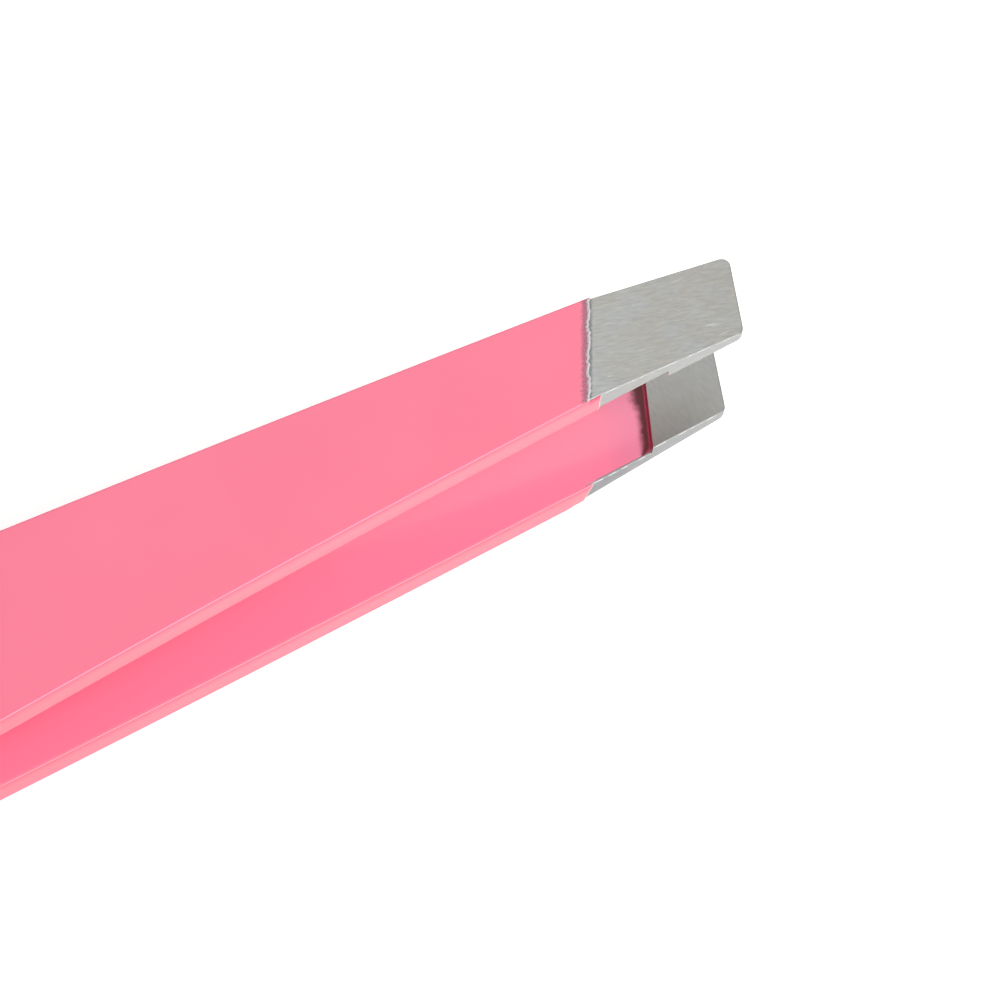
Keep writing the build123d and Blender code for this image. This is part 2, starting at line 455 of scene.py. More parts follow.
# %% Rings and parts of the vertices
OUTER, INNER, WALL = 0, 1, 2
vertex_count = len(strip_points)
cap = rows * COLUMNS
ring_of = np.zeros(vertex_count, int)
ring_of[2 * cap :] = 1 + np.arange(vertex_count - 2 * cap) * (RINGS - 2) // (vertex_count - 2 * cap)
part_of = np.where(np.arange(vertex_count) < cap, OUTER, INNER)
part_of[2 * cap :] = WALL
part_of[(ring_of > 0) & (ring_of < ARC_STEPS - 1)] = OUTER
part_of[(ring_of > RINGS - ARC_STEPS) & (strip_points[:, 1] > 0)] = INNER
down_wall = np.clip((ring_of - (ARC_STEPS - 1)) / (RINGS - 2 * ARC_STEPS + 1), 0, 1) * (part_of == WALL)
print("points on outer face, inner face and wall:", np.bincount(part_of))

# %% [markdown]
# ## Cutting the coat
# The wheel left the coat up to the facet's first line outside, a little further along the near side,
# and up to the pad's step inside. A Boolean modifier could cut it, but the cut would shred the grid.
# Here whole quads are left out past a row, and the points near the cut slide onto the ragged line.

# %% Where the coat ends on each part of the plate
SIDE_BARE = 0.8  # the coat reaches this much further on the near side than on the outer face
SIDE_REACH = 2.5


def coat_shifts(points, side_outer, side_inner):
    """Ragged shift of the outer face, and the slant of the coat's end down the near side wall.

    On the wall the end moves evenly, from side_outer ahead of the facet's line at the outer face to
    side_inner ahead of it at the inner face. The shift is that less the place where it was cut.
    """
    near_end = 1 - ramp(abs(ahead_of(points, FACET_X, FACET_SLANT) - SIDE_BARE) / SIDE_REACH)
    slanted = side_outer + (side_inner - side_outer) * down_wall - SIDE_BARE
    on_near_wall = (part_of == WALL) & (points[:, 1] < 0)
    return coat_shift(points) * (part_of == OUTER) + slanted * near_end * on_near_wall


quad_y = strip_points[quads[:, 0], 1]
on_near_side = (quad_part > ARC_STEPS) & (quad_y < 0)
side_row = facet_row + int(round(SIDE_BARE / FACET_ROW_STEP))
last_row = np.where(on_near_side, side_row, facet_row)
last_row[quad_part == INNER] = pad_row
coated = quad_row < last_row
print("coated share of the quads:", coated.mean().round(3))


# %% Shell from two skins
def shell(outside, inside, faces):
    """Closed shell: outer faces, inner faces turned round, and a rim on each edge that has one face.

    Returns its points, its faces, and for each point the plate vertex that it came from.
    """
    count = len(outside)
    edges = np.stack([faces, np.roll(faces, -1, 1)], 2).reshape(-1, 2)
    _, first, uses = np.unique(np.sort(edges, 1), axis=0, return_index=True, return_counts=True)
    free = edges[first[uses == 1]]
    rim_faces = np.stack([free[:, 1], free[:, 0], free[:, 0] + count, free[:, 1] + count], 1)
    all_faces = np.concatenate([faces, faces[:, ::-1] + count, rim_faces])
    used, compact = np.unique(all_faces, return_inverse=True)
    return np.concatenate([outside, inside])[used], compact.reshape(-1, 4), used % count


# %% [markdown]
# ## Attributes for the finishes
# Marks on the real tool follow its surfaces: grinding lines run in one direction on the facet and in
# another on the pad, and the coat changes colour close to its broken edge. Object coordinates know
# nothing of that, so each vertex carries the numbers the materials need: the grain's own coordinates,
# masks of the pad, sides and edges, and the distance from each edge of the coat. They stay with the
# vertex when the arm bends.

# %% Grain, masks and distances on the steel
FAR = 900.0
FACET_GRAIN, PAD_GRAIN = -10.0, 80.0
GRAIN_LAYER, SIDE_GRAIN_SHIFT = 7.0, 20
DARKENING_FADE, DARKENING_LENGTH = 0.6, 7.0
STEP_TOLERANCE, STEP_FROM_FLANK = 0.005, 0.15
CREST_RINGS = (2, RINGS - 3)  # two thirds of the way round each arc
CREASE_RINGS = (3, RINGS - 4)  # beside them, where arc and wall meet
rounded = ((ring_of > 0) & (ring_of < ARC_STEPS)) | (ring_of > RINGS - 1 - ARC_STEPS)


def turned(points, angle):
    """Coordinates along and across a grain that is turned by angle from the strip's length."""
    along = np.array([cos(radians(angle)), sin(radians(angle))])
    across = np.array([-along[1], along[0]])
    return np.stack([points[:, :2] @ along, points[:, :2] @ across], 1)


def steel_attributes(points, side_darkening):
    """What the steel's finish reads at each point.

    grain holds the coordinates along and across the grinding lines, with a layer of its own for each
    surface. facet_ahead is the distance past the facet's first line. pad, step_wall, side, crest and
    rounded are masks of 0 and 1; crest marks where a glint is painted. side_darkening is the amount of
    a darker tone on the walls at the coat, less with distance towards the tip.
    """
    facet_ahead = ahead_of(points, FACET_X, FACET_SLANT)
    pad_ahead = ahead_of(points, PAD_X, PAD_SLANT)
    on_outer, on_inner, on_wall = part_of == OUTER, part_of == INNER, part_of == WALL
    on_step = on_inner & (abs(pad_ahead) < PAD_STEP_WIDTH / 2 + STEP_TOLERANCE)
    off_flank = points[:, 1] > STEP_FROM_FLANK - half_width(points[:, 0])
    side = np.stack([points[:, 0], points[:, 2] + SIDE_GRAIN_SHIFT], 1)
    grain = np.where(on_outer[:, None], turned(points, FACET_GRAIN), side)
    grain = np.where(on_inner[:, None], turned(points, PAD_GRAIN), grain)
    fading = 1 - DARKENING_FADE * ramp((facet_ahead - SIDE_BARE) / DARKENING_LENGTH)
    return {
        "grain": np.concatenate([grain, part_of[:, None] * GRAIN_LAYER], 1),
        "facet_ahead": np.where(on_outer, facet_ahead, FAR),
        "pad": (on_inner & (pad_ahead > -PAD_STEP_WIDTH)).astype(float),
        "step_wall": (on_step & off_flank).astype(float),
        "side": on_wall.astype(float),
        "side_darkening": on_wall * side_darkening * fading,
        "crest": (np.isin(ring_of, CREST_RINGS) & (points[:, 1] < 0)).astype(float),
        "rounded": rounded.astype(float),
    }


print("points on rounded edges:", rounded.sum())

# %% Distances on the coat
PAD_CORNER = 0.55
# Painted shade in front of the pad's step: how much wider it is on the far half.
SHADE_LONGER, SHADE_RAMP_START, SHADE_RAMP_LENGTH = 0.35, -0.4, 1.4
side_column = np.zeros(vertex_count)
side_column[: 2 * cap] = np.tile(np.isin(np.arange(COLUMNS), (0, COLUMNS - 1)), 2 * rows)


def shade_reach(y):
    """Factor on the distance: the painted shade reaches further on the far half of the strip."""
    return 1 - SHADE_LONGER * ramp((y - SHADE_RAMP_START) / SHADE_RAMP_LENGTH)


def round_corner(points, behind):
    """Distance behind the pad, with the corner at the near flank rounded.

    Inside the corner's square the distance is the radius minus the distance to the arc's centre.
    """
    from_flank = np.clip(PAD_CORNER - points[:, 1] - half_width(points[:, 0]), 0, None)
    from_pad = np.clip(PAD_CORNER - behind, 0, None)
    return np.where(from_flank * from_pad > 0, PAD_CORNER - np.hypot(from_flank, from_pad), behind)


def coat_attributes(points, source, shift):
    """What the coat's finish reads at each point, where source is the plate vertex it came from.

    rest is its place before the arm bends. behind_facet, behind_pad and behind_side are the distances
    from the coat's three ends, or FAR on the other surfaces. dust_distance is behind_pad, shortened
    where the painted shade in front of the pad's step reaches further. shaded_coat_edge masks the
    inner coat's edges beside the bare sides, which get painted shade. edge_line is 1 on the crest of a
    rounded edge, where a highlight is painted, and -1 in the crease beside it, where shade is painted.
    """
    part = part_of[source]
    behind_facet = -ahead_of(points, FACET_X, FACET_SLANT) + shift
    beside_bare = (part == INNER) & (side_column[source] > 0) & (behind_facet < -SIDE_BARE)
    behind_pad = round_corner(points, -ahead_of(points, PAD_X - PAD_STEP_WIDTH / 2, PAD_SLANT))
    on_crest, in_crease = np.isin(ring_of, CREST_RINGS)[source], np.isin(ring_of, CREASE_RINGS)[source]
    return {
        "rest": points.copy(),
        "behind_facet": np.where(part == OUTER, behind_facet, FAR),
        "behind_pad": np.where(part == INNER, behind_pad, FAR),
        "behind_side": np.where(part == WALL, behind_facet + SIDE_BARE, FAR),
        "shaded_coat_edge": beside_bare.astype(float),
        "edge_line": on_crest - 1.0 * in_crease,
        "dust_distance": np.where(part == INNER, behind_pad * shade_reach(points[:, 1]), FAR),
    }


print("dust reaches", round(1 / shade_reach(TAIL_HALF_WIDTH), 2), "times as far on the far side")

# %% [markdown]
# ## Making the pieces
# The lower arm is the upper one mirrored in the closing plane. A Mirror modifier would keep both arms
# in one object, which couldn't bend two ways. Mirroring turns every face inside out, so the order of
# its corners is reversed. Each piece then has its transform baked into its mesh.

# %% Mesh from arrays
def make_mesh(name, points, faces, attributes, lower):
    """A mesh object at the origin, from points in mm.

    The lower arm is mirrored and its faces are turned to point outwards again.
    """
    placed = points * (1, 1, -1) if lower else points
    faces = faces[:, ::-1] if lower else faces
    mesh = bpy.data.meshes.new(name)
    mesh.vertices.add(len(placed))
    mesh.vertices.foreach_set("co", (placed * MM).astype(np.float32).ravel())
    mesh.loops.add(faces.size)
    mesh.loops.foreach_set("vertex_index", faces.astype(np.int32).ravel())
    mesh.polygons.add(len(faces))
    mesh.polygons.foreach_set("loop_start", np.arange(0, faces.size, 4, dtype=np.int32))
    mesh.update(calc_edges=True)
    mesh.validate()
    mesh.shade_smooth()
    for key, values in attributes.items():
        vector = values.ndim == 2
        layer = mesh.attributes.new(key, "FLOAT_VECTOR" if vector else "FLOAT", "POINT")
        layer.data.foreach_set("vector" if vector else "value", values.astype(np.float32).ravel())
    piece = bpy.data.objects.new(name, mesh)
    bpy.context.scene.collection.objects.link(piece)
    return piece


def bend_with(piece):
    """Bakes the transform into the mesh; the piece crosses the flexure between the tail and its arm."""
    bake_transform(piece)


# %% Strips
SIDE_DARKENING = {"upper": 0.1, "lower": 0.75}  # the lower arm's bare side gets more of the darker tone
strips = {}
for arm, lower in (("upper", False), ("lower", True)):
    attributes = steel_attributes(strip_points, SIDE_DARKENING[arm])
    strips[arm] = make_mesh(f"steel_strip_{arm}", strip_points, quads, attributes, lower)
    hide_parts(f"tail_strip_{arm}", f"flexure_{arm}", f"arm_{arm}")
    bend_with(strips[arm])
    print(strips[arm].name, len(strips[arm].data.polygons), "faces")

# %% [markdown]
# ## Coats for both arms
# The two coats differ only in how their ends slant down the near side. Where that side is bare, the
# edge of the inner coat is tucked in a little, so that it ends on the face and doesn't overhang.

# %% Coats
# Where the coat's end meets the outer and the inner edge of the near side.
SIDE_END = {"upper": (0.80, 0.80), "lower": (0.95, 1.45)}
TUCKED_IN, TUCK_LENGTH = 0.05, 0.3
coats = {}
for arm, lower in (("upper", False), ("lower", True)):
    shift = coat_shifts(coat_outside, *SIDE_END[arm])
    bare_edge = (part_of == INNER) & (side_column > 0) & (coat_outside[:, 1] < 0)
    past_end = ahead_of(coat_outside, FACET_X, FACET_SLANT) - SIDE_END[arm][1]
    tucked = TUCKED_IN * bare_edge * ramp(past_end / TUCK_LENGTH)
    moved = np.stack([shift, tucked, np.zeros_like(shift)], 1)
    skins = (coat_outside + moved, coat_inside + moved)
    coat_points, coat_faces, source = shell(*skins, quads[coated])
    attributes = coat_attributes(coat_points, source, shift[source])
    coats[arm] = make_mesh(f"powder_coat_{arm}", coat_points, coat_faces, attributes, lower)
    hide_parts(f"flexure_coat_{arm}", f"arm_coat_{arm}")
    bend_with(coats[arm])
    print(coats[arm].name, len(coats[arm].data.polygons), "faces")
# The coat of the tail is one CAD node for both arms, so the upper coat stands for it.
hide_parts("flexure_coat_upper", "arm_coat_upper", "tail_coat")

# %% [markdown]
# ## Node helpers
# A material is a chain of small nodes. These helpers make one node, set its values and join its
# sockets, so that each finish below reads as a list of what it is made from.

# %% Nodes and links
def add_node(tree, kind, inputs=None, **settings):
    """A node of that kind. Sockets given as inputs are joined, and other inputs are set as values."""
    node = tree.nodes.new("ShaderNode" + kind)
    for key, value in settings.items():
        setattr(node, key, value)
    for key, value in (inputs or {}).items():
        if isinstance(value, bpy.types.NodeSocket):
            tree.links.new(value, node.inputs[key])
        else:
            node.inputs[key].default_value = value
    return node


def math(tree, operation, a, b=0.0):
    """One Math node's result."""
    return add_node(tree, "Math", {0: a, 1: b}, operation=operation).outputs[0]


def mix_colour(tree, factor, a, b):
    """Colour a where factor is 0 and colour b where it is 1."""
    node = add_node(tree, "Mix", {"Factor": factor}, data_type="RGBA")
    for key, value in (("A", a), ("B", b)):
        socket = next(s for s in node.inputs if s.name == key and s.type == "RGBA")
        if isinstance(value, bpy.types.NodeSocket):
            tree.links.new(value, socket)
        else:
            socket.default_value = (*value, 1)
    return next(s for s in node.outputs if s.type == "RGBA")


def times(tree, a, b):
    """The product of two values."""
    return math(tree, "MULTIPLY", a, b)


def laid_over(tree, colour, tint, mask, amount=1.0):
    """The colour with a tint laid over it, by mask times amount."""
    return mix_colour(tree, times(tree, mask, amount), colour, tint)


def share_between(tree, value, start, end, **settings):
    """Mask that runs from 0 where the value is start to 1 where it is end."""
    inputs = {"Value": value, "From Min": start, "From Max": end}
    return add_node(tree, "MapRange", inputs, **settings).outputs["Result"]


def value_from(tree, mask, low, high):
    """A value that is low where the mask is 0 and high where it is 1."""
    return add_node(tree, "MapRange", {"Value": mask, "To Min": low, "To Max": high}).outputs["Result"]


def noise(tree, vector, scale, detail, roughness=0.5):
    """Soft random values around one half, with features about 1 over scale wide."""
    inputs = {"Vector": vector, "Scale": scale, "Detail": detail, "Roughness": roughness}
    return add_node(tree, "TexNoise", inputs).outputs["Fac"]


def attribute(tree, name, output="Fac"):
    """A socket with the value of a mesh attribute."""
    return add_node(tree, "Attribute", attribute_name=name).outputs[output]


# %% Groups and materials
def new_group(name, inputs, outputs):
    """An empty shader node group with named sockets. Returns its tree, input node and output node."""
    tree = bpy.data.node_groups.new(name, "ShaderNodeTree")
    for label, (kind, value) in inputs.items():
        socket = tree.interface.new_socket(label, in_out="INPUT", socket_type="NodeSocket" + kind)
        if value is not None:
            socket.default_value = value
    for label, kind in outputs.items():
        tree.interface.new_socket(label, in_out="OUTPUT", socket_type="NodeSocket" + kind)
    return tree, tree.nodes.new("NodeGroupInput"), tree.nodes.new("NodeGroupOutput")


def use_group(tree, group, inputs):
    """The outputs of a group placed in a material with its own values."""
    return add_node(tree, "Group", inputs, node_tree=group).outputs


def new_material(name):
    """A material with an empty node tree, its Principled shader and its output."""
    material = bpy.data.materials.new(name)
    material.use_nodes = True
    tree = material.node_tree
    tree.nodes.clear()
    shader = tree.nodes.new("ShaderNodeBsdfPrincipled")
    output = tree.nodes.new("ShaderNodeOutputMaterial")
    tree.links.new(shader.outputs[0], output.inputs[0])
    return material, tree, shader


def bump(tree, shader, height, strength, distance):
    """Joins a height to the shader's normal. Distance is the depth in metres for a height of 1."""
    node = add_node(tree, "Bump", {"Height": height, "Strength": strength, "Distance": distance})
    tree.links.new(node.outputs[0], shader.inputs["Normal"])


# %% [markdown]
# ## Effects that more than one finish uses
# A frayed band is a mask that changes across a distance, with noise added to the distance so that its
# edge frays: dust, bruise, chips and rims all use it. Grinding marks are noise stretched along the
# grain: fine lines for the height, a softer set for the tone, and sparse ones for scratches. As node
# groups they are built once, and each use sets its own values.

# %% Frayed band
FRAY_DETAIL = 3.0
frayed_band, group_in, group_out = new_group(
    "frayed_band",
    {
        "Vector": ("Vector", None),
        "Distance": ("Float", 0.0),
        "From": ("Float", 0.0),
        "To": ("Float", 1.0),
        "Fray": ("Float", 0.1),
        "Scale": ("Float", 5.0),
    },
    {"Mask": "Float"},
)
given = group_in.outputs
frays = noise(frayed_band, given["Vector"], given["Scale"], FRAY_DETAIL)
moved = times(frayed_band, math(frayed_band, "SUBTRACT", frays, 0.5), given["Fray"])
distance = math(frayed_band, "ADD", moved, given["Distance"])
band = share_between(frayed_band, distance, given["From"], given["To"], interpolation_type="SMOOTHSTEP")
frayed_band.links.new(band, group_out.inputs["Mask"])
print(frayed_band.name, "has", len(frayed_band.nodes), "nodes")

# %% Grinding marks
TONE_STRETCH, SCRATCH_STRETCH = (0.8, 0.5, 1.0), (0.6, 0.5, 1.0)
SCRATCH_START, SCRATCH_FULL = 0.70, 0.78
grinding, group_in, group_out = new_group(
    "grinding_marks",
    {
        "Grain": ("Vector", None),
        "Length": ("Float", 1.0),
        "Width": ("Float", 0.05),
        "Seed": ("Float", 0.0),
    },
    {"Height": "Float", "Tone": "Float", "Scratch": "Float"},
)
given = group_in.outputs
grain_parts = add_node(grinding, "SeparateXYZ", {"Vector": given["Grain"]}).outputs
lengthways = math(grinding, "DIVIDE", grain_parts["X"], given["Length"])
crossways = math(grinding, "DIVIDE", grain_parts["Y"], given["Width"])
layer_z = math(grinding, "ADD", grain_parts["Z"], given["Seed"])
stretched = add_node(grinding, "CombineXYZ", {"X": lengthways, "Y": crossways, "Z": layer_z}).outputs[0]


def stretched_again(factors):
    """The grain's coordinates, each times its own factor."""
    return add_node(grinding, "VectorMath", {0: stretched, 1: factors}, operation="MULTIPLY").outputs[0]


lines = noise(grinding, stretched, 1.0, detail=4.0, roughness=0.65)
tone = noise(grinding, stretched_again(TONE_STRETCH), 1.0, detail=4.0, roughness=0.6)
sparse = noise(grinding, stretched_again(SCRATCH_STRETCH), 1.0, detail=1.0)
scratch = share_between(grinding, sparse, SCRATCH_START, SCRATCH_FULL, interpolation_type="SMOOTHSTEP")
for label, value in (("Height", lines), ("Tone", tone), ("Scratch", scratch)):
    grinding.links.new(value, group_out.inputs[label])
print("groups:", [group.name for group in bpy.data.node_groups])


# %% [markdown]
# ## Ground steel
# The bare tips are spring steel straight from a fine grinding wheel: not polished, so reflections blur
# into soft grey, with lines along the way the wheel ran and a few longer scratches that cross them. The
# grain attribute turns the lines for the facet, the pad and the sides. The narrow sides are darker,
# painted shade, with a darker uneven tone that is strongest near the coat. The pad is darker, partly
# from its own grind and partly painted shade of the gap. The rounded edges get a darker colour,
# painted shade that dims their reflections, and the crest nearest the light gets a painted glint in
# dashes. A dark line of painted shadow lies where the steel meets the coat's broken edge. The wall of
# the pad's step is still coated, so there the same material turns dark red, the coat's pink with
# painted shade, and stops being metal.
# Painted faces of their own would do that too, but a mask keeps the strip in one closed piece.

# %% Steel colours
STEEL_LIGHT = (0.59, 0.60, 0.585)
STEEL_WARM = (0.585, 0.565, 0.515)
STEEL_DARK = (0.36, 0.37, 0.37)
# Pad colour: partly its own transverse grind, partly painted shade of the gap between the arms.
STEEL_PAD = (0.34, 0.34, 0.325)
# Painted shade: the narrow side walls are darker than the faces.
STEEL_SIDE_SHADE = (0.40, 0.42, 0.43)
# A darker, uneven tone on the side walls, strongest near the coat.
STEEL_SIDE_DARKER = (0.27, 0.30, 0.32)
# Painted shade: rounded edges get a darker colour that dims their reflections.
STEEL_EDGE_SHADE = (0.43, 0.435, 0.43)
# Bright colour of the real scratches, also used for the painted glint on the crest.
STEEL_SCRATCH_AND_GLINT = (0.85, 0.85, 0.82)
# Painted shadow: the dark line on the steel under the coat's broken edge.
RIM_SHADOW = (0.16, 0.18, 0.18)
# The coat's pink darkened by painted shade, for the wall of the pad's step and the coat beside it.
STEP_PINK_SHADED = (0.42, 0.04, 0.095)
SCRATCH_TURN = 12.0
EDGE_SHADE_LEVEL = 1.35  # less the height of the grinding marks, so the painted edge shade is patchy

# %% Marks on the steel
steel, tree, shader = new_material("ground_steel")
grain = attribute(tree, "grain", "Vector")
marks = use_group(tree, grinding, {"Grain": grain, "Length": 0.75, "Width": 0.10, "Seed": 0.0})
crossing = {"Vector": grain, "Angle": -radians(SCRATCH_TURN)}
scratch_grain = add_node(tree, "VectorRotate", crossing, rotation_type="Z_AXIS").outputs[0]
long_inputs = {"Grain": scratch_grain, "Length": 1.6, "Width": 0.07, "Seed": 3.0}
long_marks = use_group(tree, grinding, long_inputs)
patches = noise(tree, grain, scale=0.45, detail=2.0)
tone = math(tree, "ADD", times(tree, marks["Tone"], 0.7), times(tree, marks["Height"], 0.5))
tone_mask = share_between(tree, tone, start=0.45, end=0.75)
warm_mask = share_between(tree, patches, start=0.36, end=0.62)
scratched = math(tree, "MAXIMUM", marks["Scratch"], long_marks["Scratch"])
rim_shadow_inputs = {"Vector": grain, "Distance": attribute(tree, "facet_ahead"), "Fray": 0.34, "Scale": 5.0}
dust = use_group(tree, frayed_band, {**rim_shadow_inputs, "From": 0.22, "To": 0.0})["Mask"]
rounded_mask = attribute(tree, "rounded")
edge_shade_mask = times(tree, rounded_mask, math(tree, "SUBTRACT", EDGE_SHADE_LEVEL, marks["Height"]))
uneven = math(tree, "ADD", patches, marks["Tone"])
glint_dashes = share_between(tree, marks["Tone"], start=0.47, end=0.55)
step_wall = attribute(tree, "step_wall")
print("scratches cross the grinding lines at", SCRATCH_TURN, "degrees")

# %% Steel material
colour = mix_colour(tree, warm_mask, STEEL_LIGHT, STEEL_WARM)
colour = laid_over(tree, colour, STEEL_DARK, tone_mask, amount=0.52)
colour = laid_over(tree, colour, STEEL_SCRATCH_AND_GLINT, scratched, amount=0.6)
# The pad is darker: its own grind plus painted shade of the gap between the arms.
colour = laid_over(tree, colour, STEEL_PAD, attribute(tree, "pad"), amount=0.6)
# Painted shadow where the steel meets the coat's edge.
colour = laid_over(tree, colour, RIM_SHADOW, dust, amount=0.65)
# Painted shade darkens the narrow sides.
colour = laid_over(tree, colour, STEEL_SIDE_SHADE, attribute(tree, "side"), amount=0.55)
# Painted shade on the rounded edges, dimming their reflections.
colour = laid_over(tree, colour, STEEL_EDGE_SHADE, edge_shade_mask)
# A darker, uneven tone on the side walls, strongest near the coat.
colour = laid_over(tree, colour, STEEL_SIDE_DARKER, attribute(tree, "side_darkening"), amount=uneven)
# Painted glint: bright dashes on the crest nearest the light.
colour = laid_over(tree, colour, STEEL_SCRATCH_AND_GLINT, attribute(tree, "crest"), amount=glint_dashes)
# The coated step wall: dark red, its pink with painted shade.
colour = laid_over(tree, colour, STEP_PINK_SHADED, step_wall)
tree.links.new(colour, shader.inputs["Base Color"])
tree.links.new(math(tree, "SUBTRACT", 1.0, step_wall), shader.inputs["Metallic"])
rough = value_from(tree, marks["Height"], low=0.36, high=0.56)
rough = math(tree, "SUBTRACT", rough, times(tree, rounded_mask, 0.1))
tree.links.new(rough, shader.inputs["Roughness"])
bump(tree, shader, marks["Height"], strength=0.35, distance=0.00001)
for strip in strips.values():
    strip.data.materials.append(steel)
print(steel.name, "has", len(tree.nodes), "nodes")

# %% [markdown]
# ## Weld metal
# The weld nuggets sit inside the tail where the two strips are fused. Nothing shows of them, but the
# CAD node is carried over, so it gets the blotchy, slightly heat-tinted steel of a spot weld.

# %% Weld material
WELD_GREY, WELD_TINT = (0.42, 0.40, 0.37), (0.30, 0.24, 0.20)
weld, tree, shader = new_material("weld_metal")
blotches = noise(tree, add_node(tree, "TexCoord").outputs["Object"], scale=1400.0, detail=4.0)
tree.links.new(mix_colour(tree, blotches, WELD_GREY, WELD_TINT), shader.inputs["Base Color"])
shader.inputs["Metallic"].default_value = 1.0
tree.links.new(value_from(tree, blotches, low=0.35, high=0.7), shader.inputs["Roughness"])
bump(tree, shader, blotches, strength=0.4, distance=0.00003)
weld_spots = frame["nodes"]["weld_spots"]
weld_spots.data.materials.clear()
weld_spots.data.materials.append(weld)
print("weld spots carry", weld.name)

# %% [markdown]
# ## Gloss powder coat
# Powder melts into a smooth, slightly wavy film, so the coat is a coloured body under gloss, with faint
# orange peel. Colour changes near its broken edges: bruised purple, then a pale chipped rim on the
# outer face, a thin pale line on the sides, and a band of painted shade, dark and then dark red,
# against the pad's step. Away from them the sides are painted in shade that deepens towards the
# shoulder, the inside is painted paler, as light against the shade between the arms, and turns lilac
# near the pad, and each rounded edge has a painted highlight on its crest with painted shade in the
# crease beside it. The inner coat's edges beside the bare sides are painted in shade. Textures painted
# by hand could hold all this, but masks from the distances stay sharp at any size and in place when
# the arm bends.

# %% Coat colours
PINK = (0.91, 0.167, 0.268)
PINK_DEEP = (0.90, 0.157, 0.258)
# Painted shade: the side walls' pink, deeper towards the shoulder.
PINK_SIDE_SHADED = (0.90, 0.168, 0.230)
PINK_SHOULDER_SHADE = (0.87, 0.126, 0.178)
# Painted light: the inner faces paler, against the shade between the arms.
PINK_INSIDE_LIT = (0.95, 0.228, 0.350)
# Painted highlight on the crest of each rounded edge.
CREST_HIGHLIGHT = (0.99, 0.36, 0.47)
PALE_SIDE_RIM = (0.93, 0.72, 0.70)
# Painted shade in the crease beside it.
CREASE_SHADE = (0.85, 0.09, 0.17)
BRUISE = (0.40, 0.112, 0.17)
CHIPPED = (0.57, 0.55, 0.57)
# Dark colour of the real speckle in the bruised band, also the painted shade in front of the pad's
# step.
DARK_SPECK_AND_SHADE = (0.095, 0.012, 0.018)
LILAC = (0.74, 0.22, 0.345)
# Painted shade on the inner coat's edges beside the bare sides.
COAT_EDGE_SHADE = (0.25, 0.22, 0.22)
BARE_CORNER = (0.33, 0.33, 0.33)

# %% Pink of the outer face, the sides and the inside
ONLY_NEARER = 200.0  # FAR lies past this distance and every real one before it
SIDE_PINK_X, SHOULDER_PINK_X = 7.0, -13.0

coat, tree, shader = new_material("pink_powder_coat")
rest = attribute(tree, "rest", "Vector")
facet_edge = attribute(tree, "behind_facet")
pad_edge = attribute(tree, "behind_pad")
side_edge = attribute(tree, "behind_side")
dust_distance = attribute(tree, "dust_distance")
cloud = noise(tree, rest, scale=0.12, detail=2.0)
colour = mix_colour(tree, share_between(tree, cloud, start=0.35, end=0.65), PINK, PINK_DEEP)
rest_x = add_node(tree, "SeparateXYZ", {"Vector": rest}).outputs["X"]
# Painted shade deepening along the sides towards the shoulder.
shoulder_shade_share = share_between(tree, rest_x, SIDE_PINK_X, SHOULDER_PINK_X)
side_pink_shade = mix_colour(tree, shoulder_shade_share, PINK_SIDE_SHADED, PINK_SHOULDER_SHADE)
# Painted shade on the sides and painted light on the inner faces.
for edge_distance, tint in ((side_edge, side_pink_shade), (pad_edge, PINK_INSIDE_LIT)):
    on_this_surface = share_between(tree, edge_distance, ONLY_NEARER + 1.0, ONLY_NEARER)
    colour = laid_over(tree, colour, tint, on_this_surface)
print("side pink deepens from x =", SIDE_PINK_X, "to x =", SHOULDER_PINK_X, "mm")


# %% Bands along the coat's edges
def coat_band(distance, start, end, fray, scale):
    """Mask that is 1 towards start and 0 past end, frayed by noise. Distances are in mm."""
    inputs = {"Vector": rest, "Distance": distance, "Fray": fray, "Scale": scale}
    return use_group(tree, frayed_band, {**inputs, "From": end, "To": start})["Mask"]


# edge_line is 1 on the crest, where a highlight is painted, and -1 in the crease, where shade is
# painted.
edge_line = attribute(tree, "edge_line")
crest = times(tree, edge_line, value_from(tree, cloud, low=0.35, high=0.95))
lilac = coat_band(pad_edge, start=1.0, end=6.0, fray=1.5, scale=0.6)
bruise = coat_band(facet_edge, start=0.42, end=0.74, fray=0.46, scale=6.0)
speckle = share_between(tree, noise(tree, rest, scale=13.0, detail=2.0), start=0.5, end=0.7)
chipped = coat_band(facet_edge, start=0.09, end=0.28, fray=0.36, scale=13.0)
side_rim = coat_band(side_edge, start=0.05, end=0.11, fray=0.02, scale=4.0)
# Painted shade: dark band on the coat in front of the pad's step.
dust = coat_band(dust_distance, start=0.34, end=0.95, fray=0.34, scale=3.0)
# Painted shade: dark red band on the coat against the step's wall.
step_shade = coat_band(pad_edge, start=0.04, end=0.20, fray=0.12, scale=3.0)
bare_corner = coat_band(pad_edge, start=-0.12, end=-0.06, fray=0.02, scale=4.0)
print("bands so far use", len(tree.nodes), "nodes")

# %% Coat material
# Painted highlight on the crests and painted shade in the creases.
colour = laid_over(tree, colour, CREST_HIGHLIGHT, crest)
colour = laid_over(tree, colour, CREASE_SHADE, edge_line, amount=-0.7)
colour = laid_over(tree, colour, LILAC, lilac, amount=0.8)
colour = laid_over(tree, colour, BRUISE, bruise, amount=0.95)
colour = laid_over(tree, colour, DARK_SPECK_AND_SHADE, times(tree, speckle, bruise), amount=0.8)
colour = laid_over(tree, colour, CHIPPED, chipped)
colour = laid_over(tree, colour, PALE_SIDE_RIM, side_rim, amount=0.7)
# Painted shade in front of the pad's step.
colour = laid_over(tree, colour, DARK_SPECK_AND_SHADE, dust)
colour = laid_over(tree, colour, STEP_PINK_SHADED, step_shade, amount=0.9)
colour = laid_over(tree, colour, BARE_CORNER, bare_corner)
